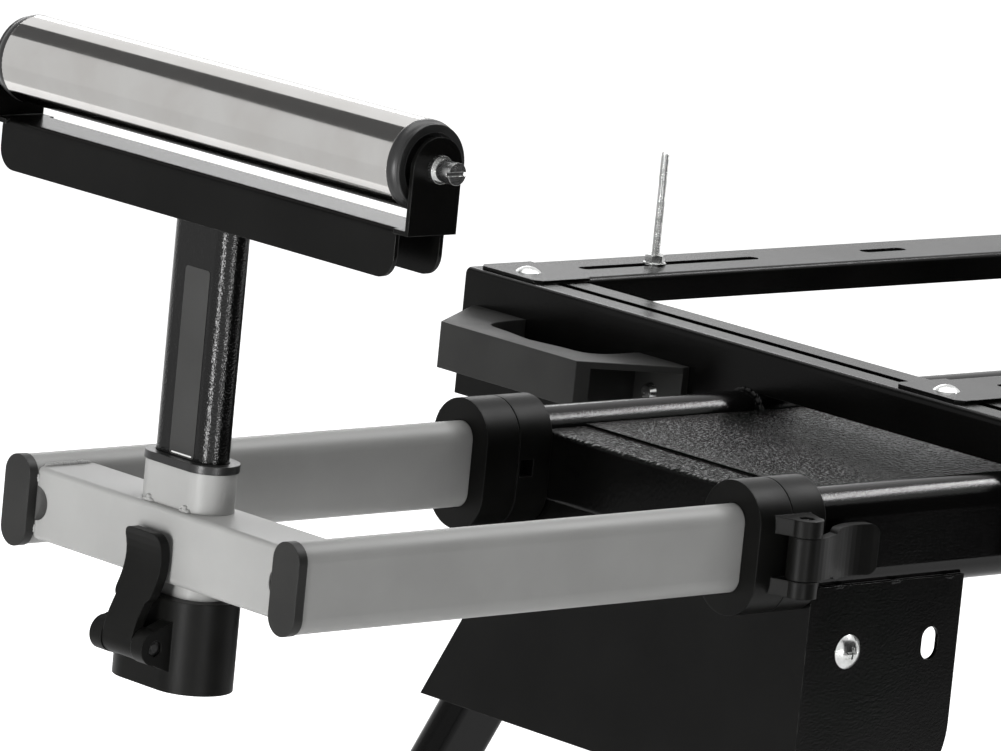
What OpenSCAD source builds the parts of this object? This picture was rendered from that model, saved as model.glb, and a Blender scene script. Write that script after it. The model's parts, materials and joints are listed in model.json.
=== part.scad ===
// Folding stand for a miter saw: two main tubes, a bolt-on saw table, four folding legs,
// and at each end a sliding pair of arms that carries a height-adjustable work roller.

/* [Main frame] */
// Length of the two main tubes
main_len = 1052; // [1040:2:1150]
// Height of a main tube's flat-oval section
main_h = 60; // [58:0.5:62]
// Thickness of a main tube's flat-oval section
main_t = 30; // [29:0.5:31]
// Wall of all the steel tubes
tube_wall = 1.5; // [1.2:0.1:1.8]
// Distance between the centres of the two main tubes
tube_pitch = 224; // [210:1:240]
// Side of the square cross tubes of the frame
cross_side = 40; // [36:0.5:44]
// Length of the deck plate behind each cross tube
deck_len = 250; // [200:1:280]
// Thickness of the deck plates
deck_t = 1.5; // [1.2:0.1:2.5]
// Height of the main tubes' centre above the floor
frame_height = 780; // [700:1:790]

/* [Arms] */
// Length of each sliding arm tube
arm_len = 590; // [540:1:592]
// Height of an arm tube's flat-oval section
arm_h = 50; // [48:0.5:51]
// Thickness of an arm tube's flat-oval section
arm_t = 20; // [19:0.5:21]
// How far the arms' end caps stand out from the clamps in the shown position
arm_out = 324; // [300:1:340]
// Side of the beam that joins the two arm tubes
beam_side = 40; // [38:0.5:42]
// Distance from the caps' outer face to the beam
beam_back = 6.5; // [6.5:0.5:20]
// Diameter of the half-round notches at the ends of the beam
beam_notch_d = 19; // [14:0.5:24]
// Thickness of the end caps' rims
cap_t = 6; // [4:0.5:6]
// Length of the plugs and glides inside and round the arm tubes' ends
glide_len = 30; // [20:1:40]

/* [Clamps and levers] */
// Length of a clamp along its tube
clamp_len = 50; // [48:0.5:56]
// Wall of a clamp round the outer tube
clamp_wall = 8; // [7:0.5:9]
// Distance of the lever's pivot from the clamp's side
pivot_out = 10; // [9.5:0.25:12]
// Width of the lever's barrel between the lugs
barrel_w = 24; // [20:0.5:26]
// Diameter of the lever's barrel
barrel_d = 18; // [16:0.5:18.5]
// Thickness of each lug
lug_t = 9.5; // [8:0.25:11]
// Radius of a lug's rounded end
lug_r = 9.5; // [8.5:0.25:10]
// Length of a lever from its pivot to its tip
lever_len = 60; // [54:0.5:66]
// Width of a lever's blade
blade_w = 29; // [26:0.5:34]
// Depth of the wave in a lever's blade
blade_dip = 14; // [10:0.5:15]
// Diameter of the levers' pivot screws
pivot_screw_d = 5; // [4:0.5:6]

/* [Roller post] */
// Height of the sleeve above the beam
sleeve_up = 22; // [18:0.5:40]
// Height of the plastic collar's flange on the sleeve
collar_h = 4.5; // [4:0.5:12]
// Height of the roller bracket's top above the collar in the shown position
post_out = 154.5; // [110:0.5:160]
// Length of the roller with its end caps
roller_len = 332; // [300:1:360]
// Diameter of the roller
roller_d = 48.5; // [44:0.5:52]
// Length of each end cap of the roller
roller_cap_len = 8; // [7:0.5:24]
// Diameter of the roller's axle
axle_d = 10; // [8:0.5:12]
// Length of the axle's slotted end outside the bracket
stub_len = 15; // [9:0.5:16]
// Width of the roller bracket
bracket_w = 33.5; // [33:0.5:42]
// Thickness of the roller bracket's sheet
bracket_t = 2.5; // [2:0.1:3]
// Height of the roller bracket's skirts
skirt_h = 27; // [22:0.5:34]
// Height of the roller's axis above the bracket's top
axis_up = 32.5; // [31:0.5:40]

/* [Saw table] */
// Length of the table along the main tubes
table_len = 654; // [640:1:700]
// Distance from the frame's centre line to the table's back edge
table_back = 362; // [360:1:380]
// Distance from the frame's centre line to the table's front edge
table_front = 150; // [145:1:170]
// Height of the table's end plates above the tubes
table_up = 25.5; // [22:0.5:32]
// Height of an end plate's face beside the frame
face_h = 78; // [70:1:84]
// Width of an end plate's top flange
flange_w = 47; // [46:0.5:58]
// Depth of the lip on the inner edge of an end plate's flange
flange_lip = 12; // [8:0.5:15]
// Thickness of the table's sheet
table_t = 2; // [1.5:0.1:2.5]
// Width of the slot along an end plate
end_slot_w = 8; // [7:0.25:9]
// Distance from an end plate's face to the middle of its slot
end_slot_x = 22.5; // [21:0.5:28]
// Width of a rail
rail_w = 54; // [50:0.5:58]
// Depth of a rail's down-turned sides
rail_lip = 17; // [12:0.5:22]
// Length of each long slot in a rail
long_slot = 150; // [120:1:160]
// Length of the short slot in the middle of a rail
short_slot = 38; // [30:1:60]
// Width of the slots in a rail
rail_slot_w = 8.4; // [7.5:0.1:9]
// Distance from the middle of a rail to the middle of a long slot
long_slot_x = 186; // [176:1:190]
// Distance of the back rail's middle from the frame's centre line
back_rail_y = 331; // [320:1:332]
// Distance of the front rail's middle from the frame's centre line
front_rail_y = -28; // [-60:1:0]
// Place of the saw bolts along the rails, from the middle
saw_bolt_x = 199; // [160:1:210]
// Height of a saw bolt's tip above the rails
saw_bolt_up = 70; // [50:1:90]

/* [Legs] */
// Height of a leg's flat-oval section
leg_w = 50; // [46:0.5:52]
// Thickness of a leg's flat-oval section
leg_t = 20; // [18:0.5:20.5]
// Angle by which the back legs splay out
splay = 30; // [26:0.5:32]
// Distance from the frame's centre height down to the legs' pivots
leg_pivot_drop = 62; // [60:0.5:66]
// Distance from a leg's pivot to the leg bracket's end face
leg_pivot_x = 33; // [31:0.5:36]
// Distance from a leg's pivot to its lock button
lock_r = 65; // [60:0.5:68]
// Diameter of the lock buttons
button_d = 11; // [9:0.5:12]
// Distance from the frame's centre height down to the leg brackets' lower edge
bracket_drop = 155; // [150:1:165]
// Length of a leg bracket along the main tubes
leg_bracket_len = 120; // [118:1:130]
// Thickness of the leg brackets' sheet
leg_bracket_t = 2.5; // [2:0.1:3]
// Radius of a leg bracket's lower inner corners
leg_bracket_r = 45; // [30:1:48]
// Diameter of the leg pivot bolts
leg_bolt_d = 8; // [6:0.5:9]
// Height of the feet
foot_h = 34; // [28:1:44]
// Distance between the planes of a left and a right leg, which fold side by side
nest_step = 24; // [24:0.25:26]

/* [Handles] */
// Distance that a carry handle stands out from the end plate
handle_out = 60; // [50:1:70]
// Length of a handle's outer bar
handle_bar = 120; // [110:1:130]
// Length of a handle along the end plate
handle_root = 188; // [180:1:200]
// Height of a handle
handle_h = 28; // [24:0.5:32]
// Distance of a handle's middle from the frame's centre line
handle_y = 255; // [250:1:258]
// Thickness of a handle's grip at its thinnest
grip_t = 17; // [14:0.5:20]

/* [Hidden] */
$fn = 48;
// Overrun of every cut
cut = 1;
// Play between pieces that slide on each other, per side
slide_gap = 0.4;
// Play between pieces that sit in each other, per side
seat_gap = 0.1;
// Play along a weld, per side
weld_gap = 0.3;
// Running play of a shaft in its hole, on the radius
shaft_gap = 0.08;
// Corner radius of the square tubes
square_r = 3;
// Outer bend radius of folded sheet
bend_r = 4;

// Main frame
tube_y = tube_pitch / 2;
tube_end = main_len / 2;
clamp_front = tube_end + clamp_len / 2;
clamp_rear = tube_end - clamp_len / 2;
cross_x = clamp_rear - cross_side / 2;
// Lap of a deck plate on its cross tube
deck_lap = 7;

// Arms
arm_end = clamp_front + arm_out;
tube_out = arm_end - cap_t;
post_x = arm_end - beam_back - beam_side / 2;
sleeve_top = beam_side / 2 + sleeve_up;
// Gap between the beam and the post's clamp
clamp_drop = 7;
post_clamp_z = -beam_side / 2 - clamp_drop - clamp_len / 2;
collar_top = sleeve_top + collar_h;
// Rim of the collar round the sleeve
collar_rim = 1;
plate_top = collar_top + post_out;
axis_z = plate_top + axis_up;
// Height of the post's lower end inside the clamp
post_hide = 6;
post_low = post_clamp_z - clamp_len / 2 + post_hide;
// Plug of an end cap inside its tube, and the cap's rim round the tube
cap_plug = 15;
cap_rim = 0.5;
// Thickness of a glide's end
glide_t = 3;

// Clamps and levers, drawn with the tube along X, the lever pivot along Z and the lever at -Y
clamp_h = main_h + 2 * clamp_wall;
clamp_t = main_t + 2 * clamp_wall;
lever_pivot = clamp_t / 2 + pivot_out;
// Play between the lever's barrel and each lug
lug_gap = 0.4;
lug_in = barrel_w / 2 + lug_gap;
// Half of a lug's foot on the clamp's side
lug_foot = 15;
// Groove round the clamp over the end of its outer tube
seam_w = 0.8;
// Square window in the clamp's inner side and its distance from the seam
window = 10;
window_x = 2;
// Pivot screws: head, nut, and the depth of the nut's pocket outside it
pivot_head_h = 2;
pivot_head_d = 1.7 * pivot_screw_d;
pivot_nut_d = 1.6 * pivot_screw_d;
pivot_nut_h = 0.8 * pivot_screw_d;
pocket_h = 1.5;
// Thickness of a lever's blade, and how far its wave runs on from root to tip, in degrees
blade_t = 6;
blade_wave = 240;
blade_points = 16;
// Neck and blade of a lever as shares of its length, and the blade's corners of its width
neck_share = 0.45;
blade_share = 0.64;
corner_share = 0.2;

// Roller
// Gap between the roller's caps and the bracket's ears
ear_play = 2.5;
ear_y = roller_len / 2 + ear_play;
ear_out = ear_y + bracket_t;
// Distance by which the skirts stop short of the ears
skirt_short = 9;
// Corner radius of the skirts
skirt_r = 12;
// Wall of the roller's tube
roller_wall = 1.5;
// Depth of the roller caps inside the roller's tube
roller_plug = 12;
// Edge radius of the roller caps
roller_edge = 6;
// Depth of the dish in a roller cap's face, round its hub
cap_dish = 5;
hub_d = 1.8 * axle_d;
// Axle ends: collar and slotted stub at the front, nut at the back
axle_collar_t = 3;
axle_collar_d = 1.5 * axle_d;
stub_d = 1.2 * axle_d;
stub_slit = 2;
axle_nut_h = 6;
axle_nut_d = 1.6 * axle_d;

// Saw table
table_x = table_len / 2;
table_z = main_h / 2 + table_up;
// Distance from the table's ends to the rails' ends
rail_inset = 6;
rail_x = table_x - rail_inset;
// Gap between an end plate's lip and a rail's sides
rail_side_gap = 2;
rail_side_x = table_x - flange_w - rail_side_gap;
// Play of the end plates round the main tubes
notch_gap = 1;
// Corner cut of a rail's end tab
tab_cut = 6;
// M6 hardware: thread, head and nut sizes
m6_d = 6;
m6_head_d = 16;
m6_head_h = 3.5;
m6_nut_d = 11;
m6_nut_h = 5;
m6_washer_d = 14;
m6_washer_t = 1.2;
saw_bolt_head = 4;

// Legs
// Distance from the clamps to the leg brackets' end face
bracket_set = 3;
bracket_x = clamp_rear - bracket_set;
leg_x = bracket_x - leg_pivot_x;
plate_y = tube_y + main_t / 2;
// Gap between a leg and its bracket
leg_gap = 1;
leg_in = leg_bracket_t + leg_gap + leg_t / 2;
// Line under the back tube from which the slanted side plate and the back legs are set out
splay_inset = 2;
splay_y = tube_y - splay_inset;
splay_z = -main_h / 2;
back_pivot = (leg_pivot_drop + splay_z) / cos(splay);
foot_wall = 2;
foot_base = 5;
// Depth of the straight side plate's top edge, where the tube's flank curves in over it
side_top = (main_h - main_t) / 2 + weld_gap
    + sqrt(pow(main_t / 2, 2) - pow(main_t / 2 - leg_bracket_t, 2));
// Size of the storage slots for the lock buttons
store_slot_h = 19;
store_slot_w = 13;
bolt_head_d = 2.5 * leg_bolt_d;
bolt_head_h = 4.5;
// Cross recess in a leg bolt's head
recess_d = 7;
recess_w = 1.4;
recess_h = 2;
leg_nut_h = 6;
leg_nut_d = 1.75 * leg_bolt_d;
// Flange that keeps a lock button inside its leg
button_flange_t = 2;
button_rim = 2;
// Cone on a lock button's tip
button_tip = 1.5;
// Travel of a lock button
button_travel = 7;

// Handles
// Wall of the handle's hollow wings
wing_wall = 4;
// Height of a handle's top above the frame's centre
handle_top = 34;
// Depth of the handle's mounting feet
pad_t = 5;
// Length of a mounting foot along the end plate
pad_len = 44;
// Distance of a handle's bolt from its end
handle_bolt_in = 26;
// Depth of a handle's bolts below its top
handle_bolt_drop = 20;
handle_bolt_z = handle_top - handle_bolt_drop;
// Size of the finger waves in the grip, as a share of its thickness
wave_share = 0.22;
// Power that squares up the arch of the finger opening: 1 would make it half an ellipse
arch_share = 0.5;
arch_points = 40;

// Extent of the whole stand across the frame, which sets its middle
y_low = -(ear_out + stub_len);
foot_in = leg_bracket_t + leg_gap - foot_wall;
y_high = splay_y - foot_in * cos(splay)
    + (frame_height + splay_z - foot_in * sin(splay)) * tan(splay);
y_shift = -(y_low + y_high) / 2;

black = [0.09, 0.09, 0.09];
plastic = [0.17, 0.17, 0.17];
silver = [0.66, 0.66, 0.65];
zinc = [0.78, 0.78, 0.76];
chrome = [0.85, 0.86, 0.88];

// Everything is drawn round the middle of the frame and then stood on the floor.
module stand() {
    translate([0, y_shift, frame_height]) children();
}

// The left end is drawn, and the right end is its mirror image.
module end_side(right) {
    if (right) mirror([1, 0, 0]) children();
    else children();
}

module front_back(back) {
    if (back) mirror([0, 1, 0]) children();
    else children();
}

module both_y() {
    children();
    mirror([0, 1, 0]) children();
}

module both_x() {
    children();
    mirror([1, 0, 0]) children();
}

// Flat oval with its long size along the second axis.
module oval(h, t) {
    square([t, h - t], center = true);
    for (s = [-1, 1]) translate([0, s * (h - t) / 2]) circle(d = t);
}

module rounded(w, h, r) {
    square([w - 2 * r, h], center = true);
    square([w, h - 2 * r], center = true);
    for (x = [-1, 1], y = [-1, 1]) translate([x * (w / 2 - r), y * (h / 2 - r)]) circle(r);
}

module slot(l, w) {
    square([l - w, w], center = true);
    for (s = [-1, 1]) translate([s * (l - w) / 2, 0]) circle(d = w);
}

// Extrusions along X (outline in Y and Z) and along Y (outline in X and Z).
module along_x(l) {
    rotate([90, 0, 90]) linear_extrude(l) children();
}

module along_y(l) {
    translate([0, l, 0]) rotate([90, 0, 0]) linear_extrude(l) children();
}

module oval_tube(l, h, t, wall) {
    difference() {
        linear_extrude(l) oval(h, t);
        translate([0, 0, -cut]) linear_extrude(l + 2 * cut) oval(h - 2 * wall, t - 2 * wall);
    }
}

module hex(d, h) {
    cylinder(d = d / cos(30), h = h, $fn = 6);
}

// Section of a folded channel that opens downwards, its top at zero
module channel(w, h1, h2, t) {
    h = max(h1, h2);
    difference() {
        translate([0, -h]) rounded(w, 2 * h, bend_r);
        translate([0, -h - t]) rounded(w - 2 * t, 2 * h, bend_r - t);
        translate([-w, -3 * h]) square([w, 3 * h - h1]);
        translate([0, -3 * h]) square([w, 3 * h - h2]);
    }
}

// Main frame
module main_tubes() color(black) stand() {
    both_y() translate([-tube_end, tube_y, 0]) rotate([90, 0, 90])
        oval_tube(main_len, main_h, main_t, tube_wall);
}

module cross_members() color(black) stand() {
    inner = tube_pitch - main_t - 2 * weld_gap;
    both_x() {
        translate([-cross_x, -inner / 2, 0]) difference() {
            along_y(inner) rounded(cross_side, cross_side, square_r);
            translate([0, -cut, 0]) along_y(inner + 2 * cut)
                rounded(cross_side - 2 * tube_wall, cross_side - 2 * tube_wall, square_r - tube_wall);
        }
        translate([-cross_x + cross_side / 2 - deck_lap, -inner / 2, cross_side / 2])
            cube([deck_len, inner, deck_t]);
    }
}

// Straight side of a leg bracket, drawn from the pivot with its outer face at zero.
module bracket_side(top, drop) {
    x0 = -leg_pivot_x;
    x1 = leg_bracket_len - leg_pivot_x;
    along_y(leg_bracket_t) difference() {
        union() {
            translate([x0, -drop]) square([leg_bracket_len - leg_bracket_r, drop + top]);
            translate([x0, -drop + leg_bracket_r])
                square([leg_bracket_len, drop + top - leg_bracket_r]);
            translate([x1 - leg_bracket_r, -drop + leg_bracket_r]) circle(leg_bracket_r);
        }
        circle(d = leg_bolt_d + 2 * seat_gap);
        translate([0, -lock_r]) circle(d = button_d + 2 * leg_gap);
        translate([lock_r, 0]) rotate(90) slot(store_slot_h, store_slot_w);
    }
}

// The bracket's end face: its outline in Y and Z, with the frame's tubes cut out of its top edge.
module bracket_face() {
    difference() {
        polygon([
            [-plate_y, -side_top],
            [-plate_y, -bracket_drop],
            [splay_y + (bracket_drop + splay_z) * tan(splay), -bracket_drop],
            [splay_y, splay_z],
            [splay_y, -cross_side / 2],
            [-tube_y, -cross_side / 2],
            [-tube_y, -side_top]
        ]);
        for (s = [-1, 1]) translate([s * tube_y, 0])
            oval(main_h + 2 * weld_gap, main_t + 2 * weld_gap);
    }
}

module leg_bracket(right) color(black) stand() end_side(right) {
    translate([-bracket_x, 0, 0]) along_x(leg_bracket_t) bracket_face();
    translate([-leg_x, -plate_y, -leg_pivot_drop])
        bracket_side(leg_pivot_drop - side_top, bracket_drop - leg_pivot_drop);
    intersection() {
        translate([-leg_x, splay_y, splay_z]) rotate([splay, 0, 0])
            translate([0, -leg_bracket_t, -back_pivot])
            bracket_side(back_pivot - weld_gap, (bracket_drop + splay_z) / cos(splay) - back_pivot);
        translate([-bracket_x - cut, 0, -bracket_drop])
            cube([leg_bracket_len + 2 * cut, 2 * plate_y, bracket_drop]);
    }
}

// Saw table: folded end plates that stand on the main tubes
module end_plate(right) color(black) stand() end_side(right) {
    depth = table_front + table_back;
    difference() {
        translate([-table_x + flange_w / 2, -table_front, table_z]) along_y(depth)
            channel(flange_w, face_h, flange_lip, table_t);
        // The notch that rides over the frame, with its corners round the tubes
        translate([-table_x - cut, 0, 0]) along_x(table_t + 2 * cut) {
            frame_w = tube_pitch + main_t + 2 * notch_gap;
            translate([-frame_w / 2, -face_h]) square([frame_w, face_h + main_h / 2 - main_t / 2]);
            translate([-tube_y, 0]) square([tube_pitch, main_h / 2 + seat_gap]);
            for (s = [-1, 1]) translate([s * tube_y, (main_h - main_t) / 2])
                circle(main_t / 2 + notch_gap);
        }
        translate([-table_x + end_slot_x, (table_back - table_front) / 2, table_z - table_t - cut])
            linear_extrude(table_t + 2 * cut) rotate(90)
            slot(depth - rail_w, end_slot_w);
        for (s = [-1, 1]) translate([-table_x - cut, handle_y + s * (handle_root / 2 - handle_bolt_in),
            handle_bolt_z]) along_x(table_t + 2 * cut) circle(d = m6_d + 2 * seat_gap);
    }
}

module rail() {
    difference() {
        union() {
            // Flat tabs at both ends, with their corners cut, and the folded channel between
            linear_extrude(table_t) difference() {
                square([2 * rail_x, rail_w], center = true);
                square([2 * rail_side_x, 2 * rail_w], center = true);
                for (x = [-1, 1], y = [-1, 1]) translate([x * rail_x, y * rail_w / 2])
                    rotate(45) square(tab_cut, center = true);
            }
            // One flat strip from end to end joins them
            linear_extrude(table_t) square([2 * rail_x, rail_w - 2 * bend_r], center = true);
            translate([-rail_side_x, 0, table_t]) along_x(2 * rail_side_x)
                channel(rail_w, rail_lip, rail_lip, table_t);
        }
        translate([0, 0, -cut]) linear_extrude(table_t + 2 * cut) {
            slot(short_slot, rail_slot_w);
            for (s = [-1, 1]) translate([s * long_slot_x, 0]) slot(long_slot, rail_slot_w);
        }
        for (s = [-1, 1]) translate([s * (table_x - end_slot_x), 0, -cut])
            cylinder(d = m6_d + 2 * slide_gap, h = table_t + 2 * cut);
    }
}

module back_rail() color(black) stand() translate([0, back_rail_y, table_z]) rail();
module front_rail() color(black) stand() translate([0, front_rail_y, table_z]) rail();

// Mushroom head, shank and a nut under the end plate's flange
module rail_bolt() {
    dome_r = (pow(m6_head_d / 2, 2) + pow(m6_head_h, 2)) / (2 * m6_head_h);
    intersection() {
        translate([0, 0, table_t + m6_head_h - dome_r]) sphere(dome_r);
        translate([0, 0, table_t]) cylinder(d = m6_head_d, h = m6_head_h);
    }
    translate([0, 0, -table_t - m6_washer_t - m6_nut_h - cut])
        cylinder(d = m6_d, h = 2 * table_t + m6_washer_t + m6_nut_h + cut + seat_gap);
    translate([0, 0, -table_t - m6_washer_t]) cylinder(d = m6_washer_d, h = m6_washer_t - seat_gap);
    translate([0, 0, -table_t - m6_washer_t - m6_nut_h]) hex(m6_nut_d, m6_nut_h + seat_gap);
}

module rail_bolts(y) color(zinc) stand() both_x() translate([-table_x + end_slot_x, y, table_z])
    rail_bolt();

// Threaded bolt that holds the saw's base: head under the rail, washer and nut above it
module saw_bolt(x, y) color(zinc) stand() translate([x, y, table_z]) {
    translate([0, 0, -saw_bolt_head]) hex(m6_nut_d, saw_bolt_head - seat_gap);
    translate([0, 0, -saw_bolt_head]) cylinder(d = m6_d, h = saw_bolt_head + table_t + saw_bolt_up);
    translate([0, 0, table_t + seat_gap]) cylinder(d = m6_washer_d, h = m6_washer_t);
    translate([0, 0, table_t + m6_washer_t]) hex(m6_nut_d, m6_nut_h);
}

// Carry handle, drawn from the middle of its root: the end plate's face is at zero, outward is -X
opening = handle_root - 2 * pad_len;
// Arch of the finger opening, with two waves along the grip
finger_arch = [for (i = [0 : arch_points])
    let (a = 180 * i / arch_points - 90,
         s = sign(a) * pow(abs(sin(a)), arch_share),
         wave = wave_share * (1 - cos(360 * s)) / 2)
    [-(handle_out - grip_t * (1 + wave)) * pow(cos(a), arch_share), s * opening / 2]];

module handle_outline() {
    difference() {
        polygon([
            [0, -handle_root / 2], [-pad_t, -handle_root / 2],
            [-handle_out, -handle_bar / 2], [-handle_out, handle_bar / 2],
            [-pad_t, handle_root / 2], [0, handle_root / 2]
        ]);
        polygon(finger_arch);
        translate([0, -opening / 2]) square([cut, opening]);
    }
}

module carry_handle() {
    pocket_x = handle_out - pad_t - 2 * wing_wall;
    difference() {
        translate([0, 0, handle_top - handle_h]) linear_extrude(handle_h) handle_outline();
        both_y() {
            // The open pocket in each wing leaves room for the bolt in the foot
            translate([-pad_t - pocket_x, -handle_root / 2 - cut, handle_top - handle_h - cut])
                cube([pocket_x, cut + pad_len - wing_wall, handle_h + cut - wing_wall]);
            translate([-pad_t - cut, -handle_root / 2 + handle_bolt_in, handle_bolt_z])
                along_x(pad_t + 2 * cut) circle(d = m6_d + 2 * seat_gap);
        }
    }
}

module carry_handles() color(plastic) stand() both_x()
    translate([-table_x, handle_y, 0]) carry_handle();

module handle_bolt() {
    translate([-pad_t - m6_head_h, 0, 0]) rotate([0, 90, 0]) {
        cylinder(d1 = m6_head_d / 2, d2 = 0.75 * m6_head_d, h = m6_head_h - seat_gap);
        cylinder(d = m6_d, h = m6_head_h + pad_t + table_t + m6_nut_h + cut);
    }
    translate([table_t + seat_gap, 0, 0]) rotate([0, 90, 0]) hex(m6_nut_d, m6_nut_h);
}

// Screw through both lugs of a clamp, with its head sunk in one and its nut in the other
module pivot_screw() {
    half = lug_in + lug_t;
    translate([0, -lever_pivot, -half]) {
        cylinder(d = pivot_head_d, h = pivot_head_h);
        cylinder(d = pivot_screw_d, h = 2 * half - pocket_h / 2);
        translate([0, 0, 2 * half - pocket_h - pivot_nut_h]) hex(pivot_nut_d, pivot_nut_h);
    }
}

module leg_bolt(extra) {
    dome_r = (pow(bolt_head_d / 2, 2) + pow(bolt_head_h, 2)) / (2 * bolt_head_h);
    rotate([-90, 0, 0]) {
        difference() {
            intersection() {
                translate([0, 0, dome_r - bolt_head_h]) sphere(dome_r);
                translate([0, 0, -bolt_head_h]) cylinder(d = bolt_head_d, h = bolt_head_h - seat_gap);
            }
            for (turn = [0, 90]) rotate(turn) translate([-recess_d / 2, -recess_w / 2, -bolt_head_h - cut])
                cube([recess_d, recess_w, recess_h + cut]);
        }
        translate([0, 0, -bolt_head_h / 2])
            cylinder(d = leg_bolt_d, h = bolt_head_h / 2 + leg_bracket_t + 2 * leg_gap + leg_t
            + extra + leg_nut_h);
        translate([0, 0, leg_bracket_t + 2 * leg_gap + leg_t + extra]) hex(leg_nut_d, leg_nut_h);
        // Spacer bush between the bracket and an inner leg
        if (extra > 0) translate([0, 0, leg_bracket_t + seat_gap])
            cylinder(d = 2 * leg_bolt_d, h = extra);
    }
}

module frame_bolts() color(zinc) stand() {
    for (right = [false, true]) end_side(right) {
        translate([-table_x, handle_y, 0]) both_y()
            translate([0, handle_root / 2 - handle_bolt_in, handle_bolt_z]) handle_bolt();
        both_y() translate([-tube_end, -tube_y, 0]) pivot_screw();
        extra = right ? nest_step : 0;
        translate([-leg_x, -plate_y, -leg_pivot_drop]) leg_bolt(extra);
        translate([-leg_x, splay_y, splay_z]) rotate([splay, 0, 0]) translate([0, 0, -back_pivot])
            mirror([0, 1, 0]) leg_bolt(extra);
    }
}

// Clamp body: a stepped oval bore, the arm's at -X and the outer tube's at +X, and two lugs
module clamp_body(seam) {
    half = lug_in + lug_t;
    difference() {
        union() {
            translate([-clamp_len / 2, 0, 0]) along_x(clamp_len) oval(clamp_h, clamp_t);
            for (z = [-lug_in - lug_t, lug_in]) translate([0, 0, z]) linear_extrude(lug_t) {
                translate([0, -lever_pivot]) circle(lug_r);
                polygon([
                    [-lug_r, -lever_pivot], [lug_r, -lever_pivot],
                    [lug_foot, -clamp_t / 2 + clamp_wall / 2],
                    [-lug_foot, -clamp_t / 2 + clamp_wall / 2]
                ]);
            }
        }
        translate([-clamp_len / 2 - cut, 0, 0]) along_x(clamp_len + 2 * cut)
            oval(arm_h + 2 * slide_gap, arm_t + 2 * slide_gap);
        along_x(clamp_len / 2 + cut) oval(main_h + 2 * seat_gap, main_t + 2 * seat_gap);
        translate([0, -lever_pivot, -clamp_h / 2])
            cylinder(r = pivot_screw_d / 2 + seat_gap, h = clamp_h);
        translate([0, -lever_pivot, -half - cut])
            cylinder(r = pivot_head_d / 2 + seat_gap, h = cut + pivot_head_h + seat_gap);
        translate([0, -lever_pivot, half - pocket_h - pivot_nut_h - seat_gap])
            hex(pivot_nut_d + 2 * seat_gap, lug_t);
        translate([window_x, clamp_t / 2 - clamp_wall, -window / 2])
            cube([window, clamp_wall + cut, window]);
        // Seam round the clamp, left out on the side that carries the lugs
        if (seam) translate([-seam_w / 2, 0, 0]) along_x(seam_w) difference() {
            square(2 * clamp_h, center = true);
            oval(clamp_h - 2 * seam_w, clamp_t - 2 * seam_w);
            translate([-clamp_t, 0]) square([clamp_t + main_t, 2 * half + seam_w], center = true);
        }
    }
}

// Cam lever: barrel at the pivot and a waved blade along +X, which leaves the barrel's outer side,
// dips towards the tube and turns out again at the thumb end
blade_mid = [for (i = [0 : blade_points])
    let (s = i / blade_points)
    [s * lever_len, (blade_t - barrel_d) / 2 + blade_dip * (1 - cos(blade_wave * s)) / 2]];

module cam_lever() {
    difference() {
        union() {
            translate([0, 0, -barrel_w / 2]) cylinder(d = barrel_d, h = barrel_w);
            intersection() {
                translate([0, 0, -blade_w / 2]) linear_extrude(blade_w) polygon(concat(
                    [for (p = blade_mid) [p[0], p[1] + blade_t / 2]],
                    [for (i = [blade_points : -1 : 0]) [blade_mid[i][0], blade_mid[i][1] - blade_t / 2]]
                ));
                translate([0, -lever_pivot, 0]) along_y(2 * lever_pivot) {
                    translate([0, -barrel_w / 2]) square([lever_len * neck_share, barrel_w]);
                    translate([lever_len * (1 - blade_share / 2), 0])
                        rounded(lever_len * blade_share, blade_w, blade_w * corner_share);
                }
            }
        }
        translate([0, 0, -barrel_w / 2 - cut])
            cylinder(r = pivot_screw_d / 2 + shaft_gap, h = barrel_w + 2 * cut);
    }
}

// The step in each clamp's bore lies against the end of its main tube
module tube_clamps(right) color(plastic) stand() end_side(right) both_y()
    translate([-tube_end, -tube_y, 0]) clamp_body(true);

module arm_lever(right, back) color(plastic) stand() end_side(right) front_back(back)
    translate([-tube_end, -tube_y - lever_pivot, 0]) cam_lever();

// The post's clamp is the same piece without the seam, stood up with its lever outside the beam
module on_post() {
    translate([-post_x, 0, post_clamp_z]) rotate(a = 240, v = [1, 1, 1]) mirror([0, 0, 1]) children();
}

module post_clamp(right) color(plastic) stand() end_side(right) on_post() clamp_body(false);
module clamp_screw(right) color(zinc) stand() end_side(right) on_post() pivot_screw();
module post_lever(right) color(plastic) stand() end_side(right) on_post()
    translate([0, -lever_pivot, 0]) cam_lever();

// Arms
module arm_tubes(right) color(silver) stand() end_side(right) both_y()
    translate([-tube_out, tube_y, 0]) rotate([90, 0, 90])
    oval_tube(arm_len, arm_h, arm_t, tube_wall);

module cross_beam(right) color(silver) stand() end_side(right) {
    l = tube_pitch - arm_t;
    translate([-post_x, 0, 0]) difference() {
        translate([0, -l / 2, 0]) along_y(l) rounded(beam_side, beam_side, square_r);
        translate([0, -l / 2 - cut, 0]) along_y(l + 2 * cut)
            rounded(beam_side - 2 * tube_wall, beam_side - 2 * tube_wall, square_r - tube_wall);
        translate([0, 0, -beam_side]) linear_extrude(2 * beam_side)
            oval(main_h + 2 * seat_gap, main_t + 2 * seat_gap);
        for (s = [-1, 1]) translate([-beam_side, s * l / 2, 0]) rotate([0, 90, 0])
            cylinder(d = beam_notch_d, h = beam_side);
    }
}

module post_sleeve(right) color(silver) stand() end_side(right)
    translate([-post_x, 0, post_clamp_z + seat_gap])
    oval_tube(sleeve_top - post_clamp_z - seat_gap, main_h, main_t, tube_wall);

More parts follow.
